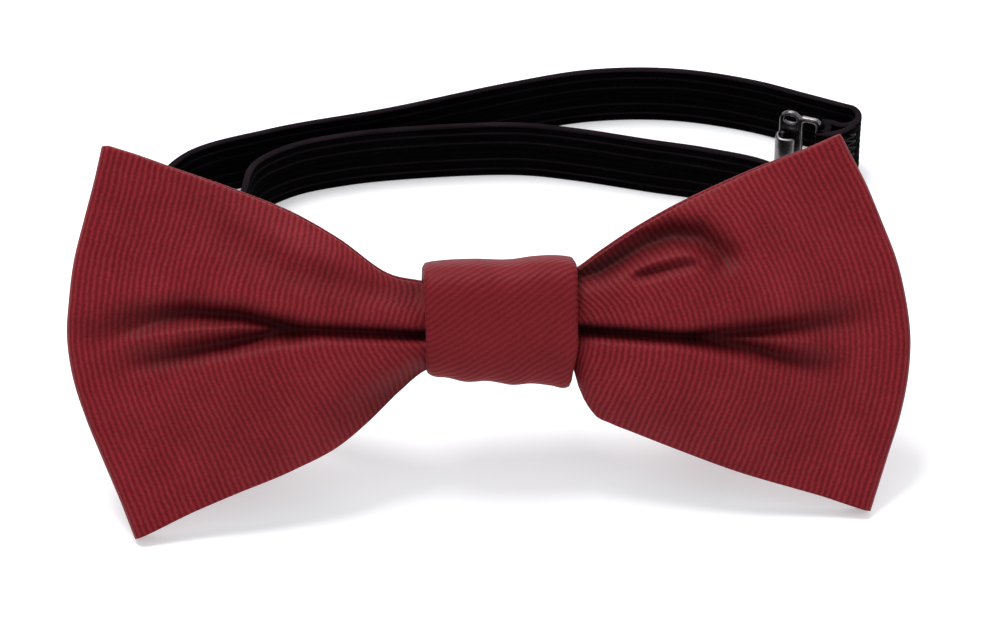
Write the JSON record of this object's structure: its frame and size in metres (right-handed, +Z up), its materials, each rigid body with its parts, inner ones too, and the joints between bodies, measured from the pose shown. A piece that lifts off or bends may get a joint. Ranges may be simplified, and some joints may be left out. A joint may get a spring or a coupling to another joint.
{
  "type": "bow tie",
  "caption": "Pre-tied bow tie: a folded cloth sleeve gathered under a wrapped knot, on an elastic neck band with a hook, an eye and a slider, lying unhooked.",
  "frame": {"origin": "under the middle of the whole tie's box, on the table that it lies on", "axes": "+X to the right along the bow's width as seen from its front, +Y from the bow back to the neck band, +Z up"},
  "size_m": [0.1204, 0.0934, 0.0461],
  "materials": {
    "ribbed_cloth": "ribbed satin, burgundy",
    "interlining": "off-white felt",
    "burgundy_thread": "sewing thread",
    "elastic": "black woven elastic",
    "black_thread": "sewing thread",
    "nickel": "dark nickel plate"
  },
  "bodies": {
    "bow_and_band": {"bow_fabric": "ribbed_cloth", "bow_interlining": "interlining", "bow_back_seam": "burgundy_thread", "waist_binding_thread": "burgundy_thread", "knot_wrap": "ribbed_cloth", "knot_interlining": "interlining", "knot_seam_thread": "burgundy_thread", "band_tack_left": "black_thread", "band_tack_right": "black_thread", "band_left": "elastic", "band_right": "elastic", "hook_fold_tack": "black_thread", "band_end_tack": "black_thread"},
    "hook": {"hook": "nickel"},
    "eye": {"eye": "nickel"},
    "slider": {"slider": "nickel"}
  },
  "joints": [
    {"name": "hook_swing", "type": "hinge", "parent": "bow_and_band", "child": "hook", "pos_m": [0.05274, 0.02805, 0.0068], "axis": [0, 0, 1], "range_deg": [-45, 45]},
    {"name": "eye_swing", "type": "hinge", "parent": "bow_and_band", "child": "eye", "pos_m": [-0.03717, -0.00402, 0.0068], "axis": [0, 0, 1], "range_deg": [-60, 60]},
    {"name": "slider_travel", "type": "slide", "parent": "bow_and_band", "child": "slider", "axis": [0, 1, 0], "range_m": [-0.006, 0.003]}
  ]
}
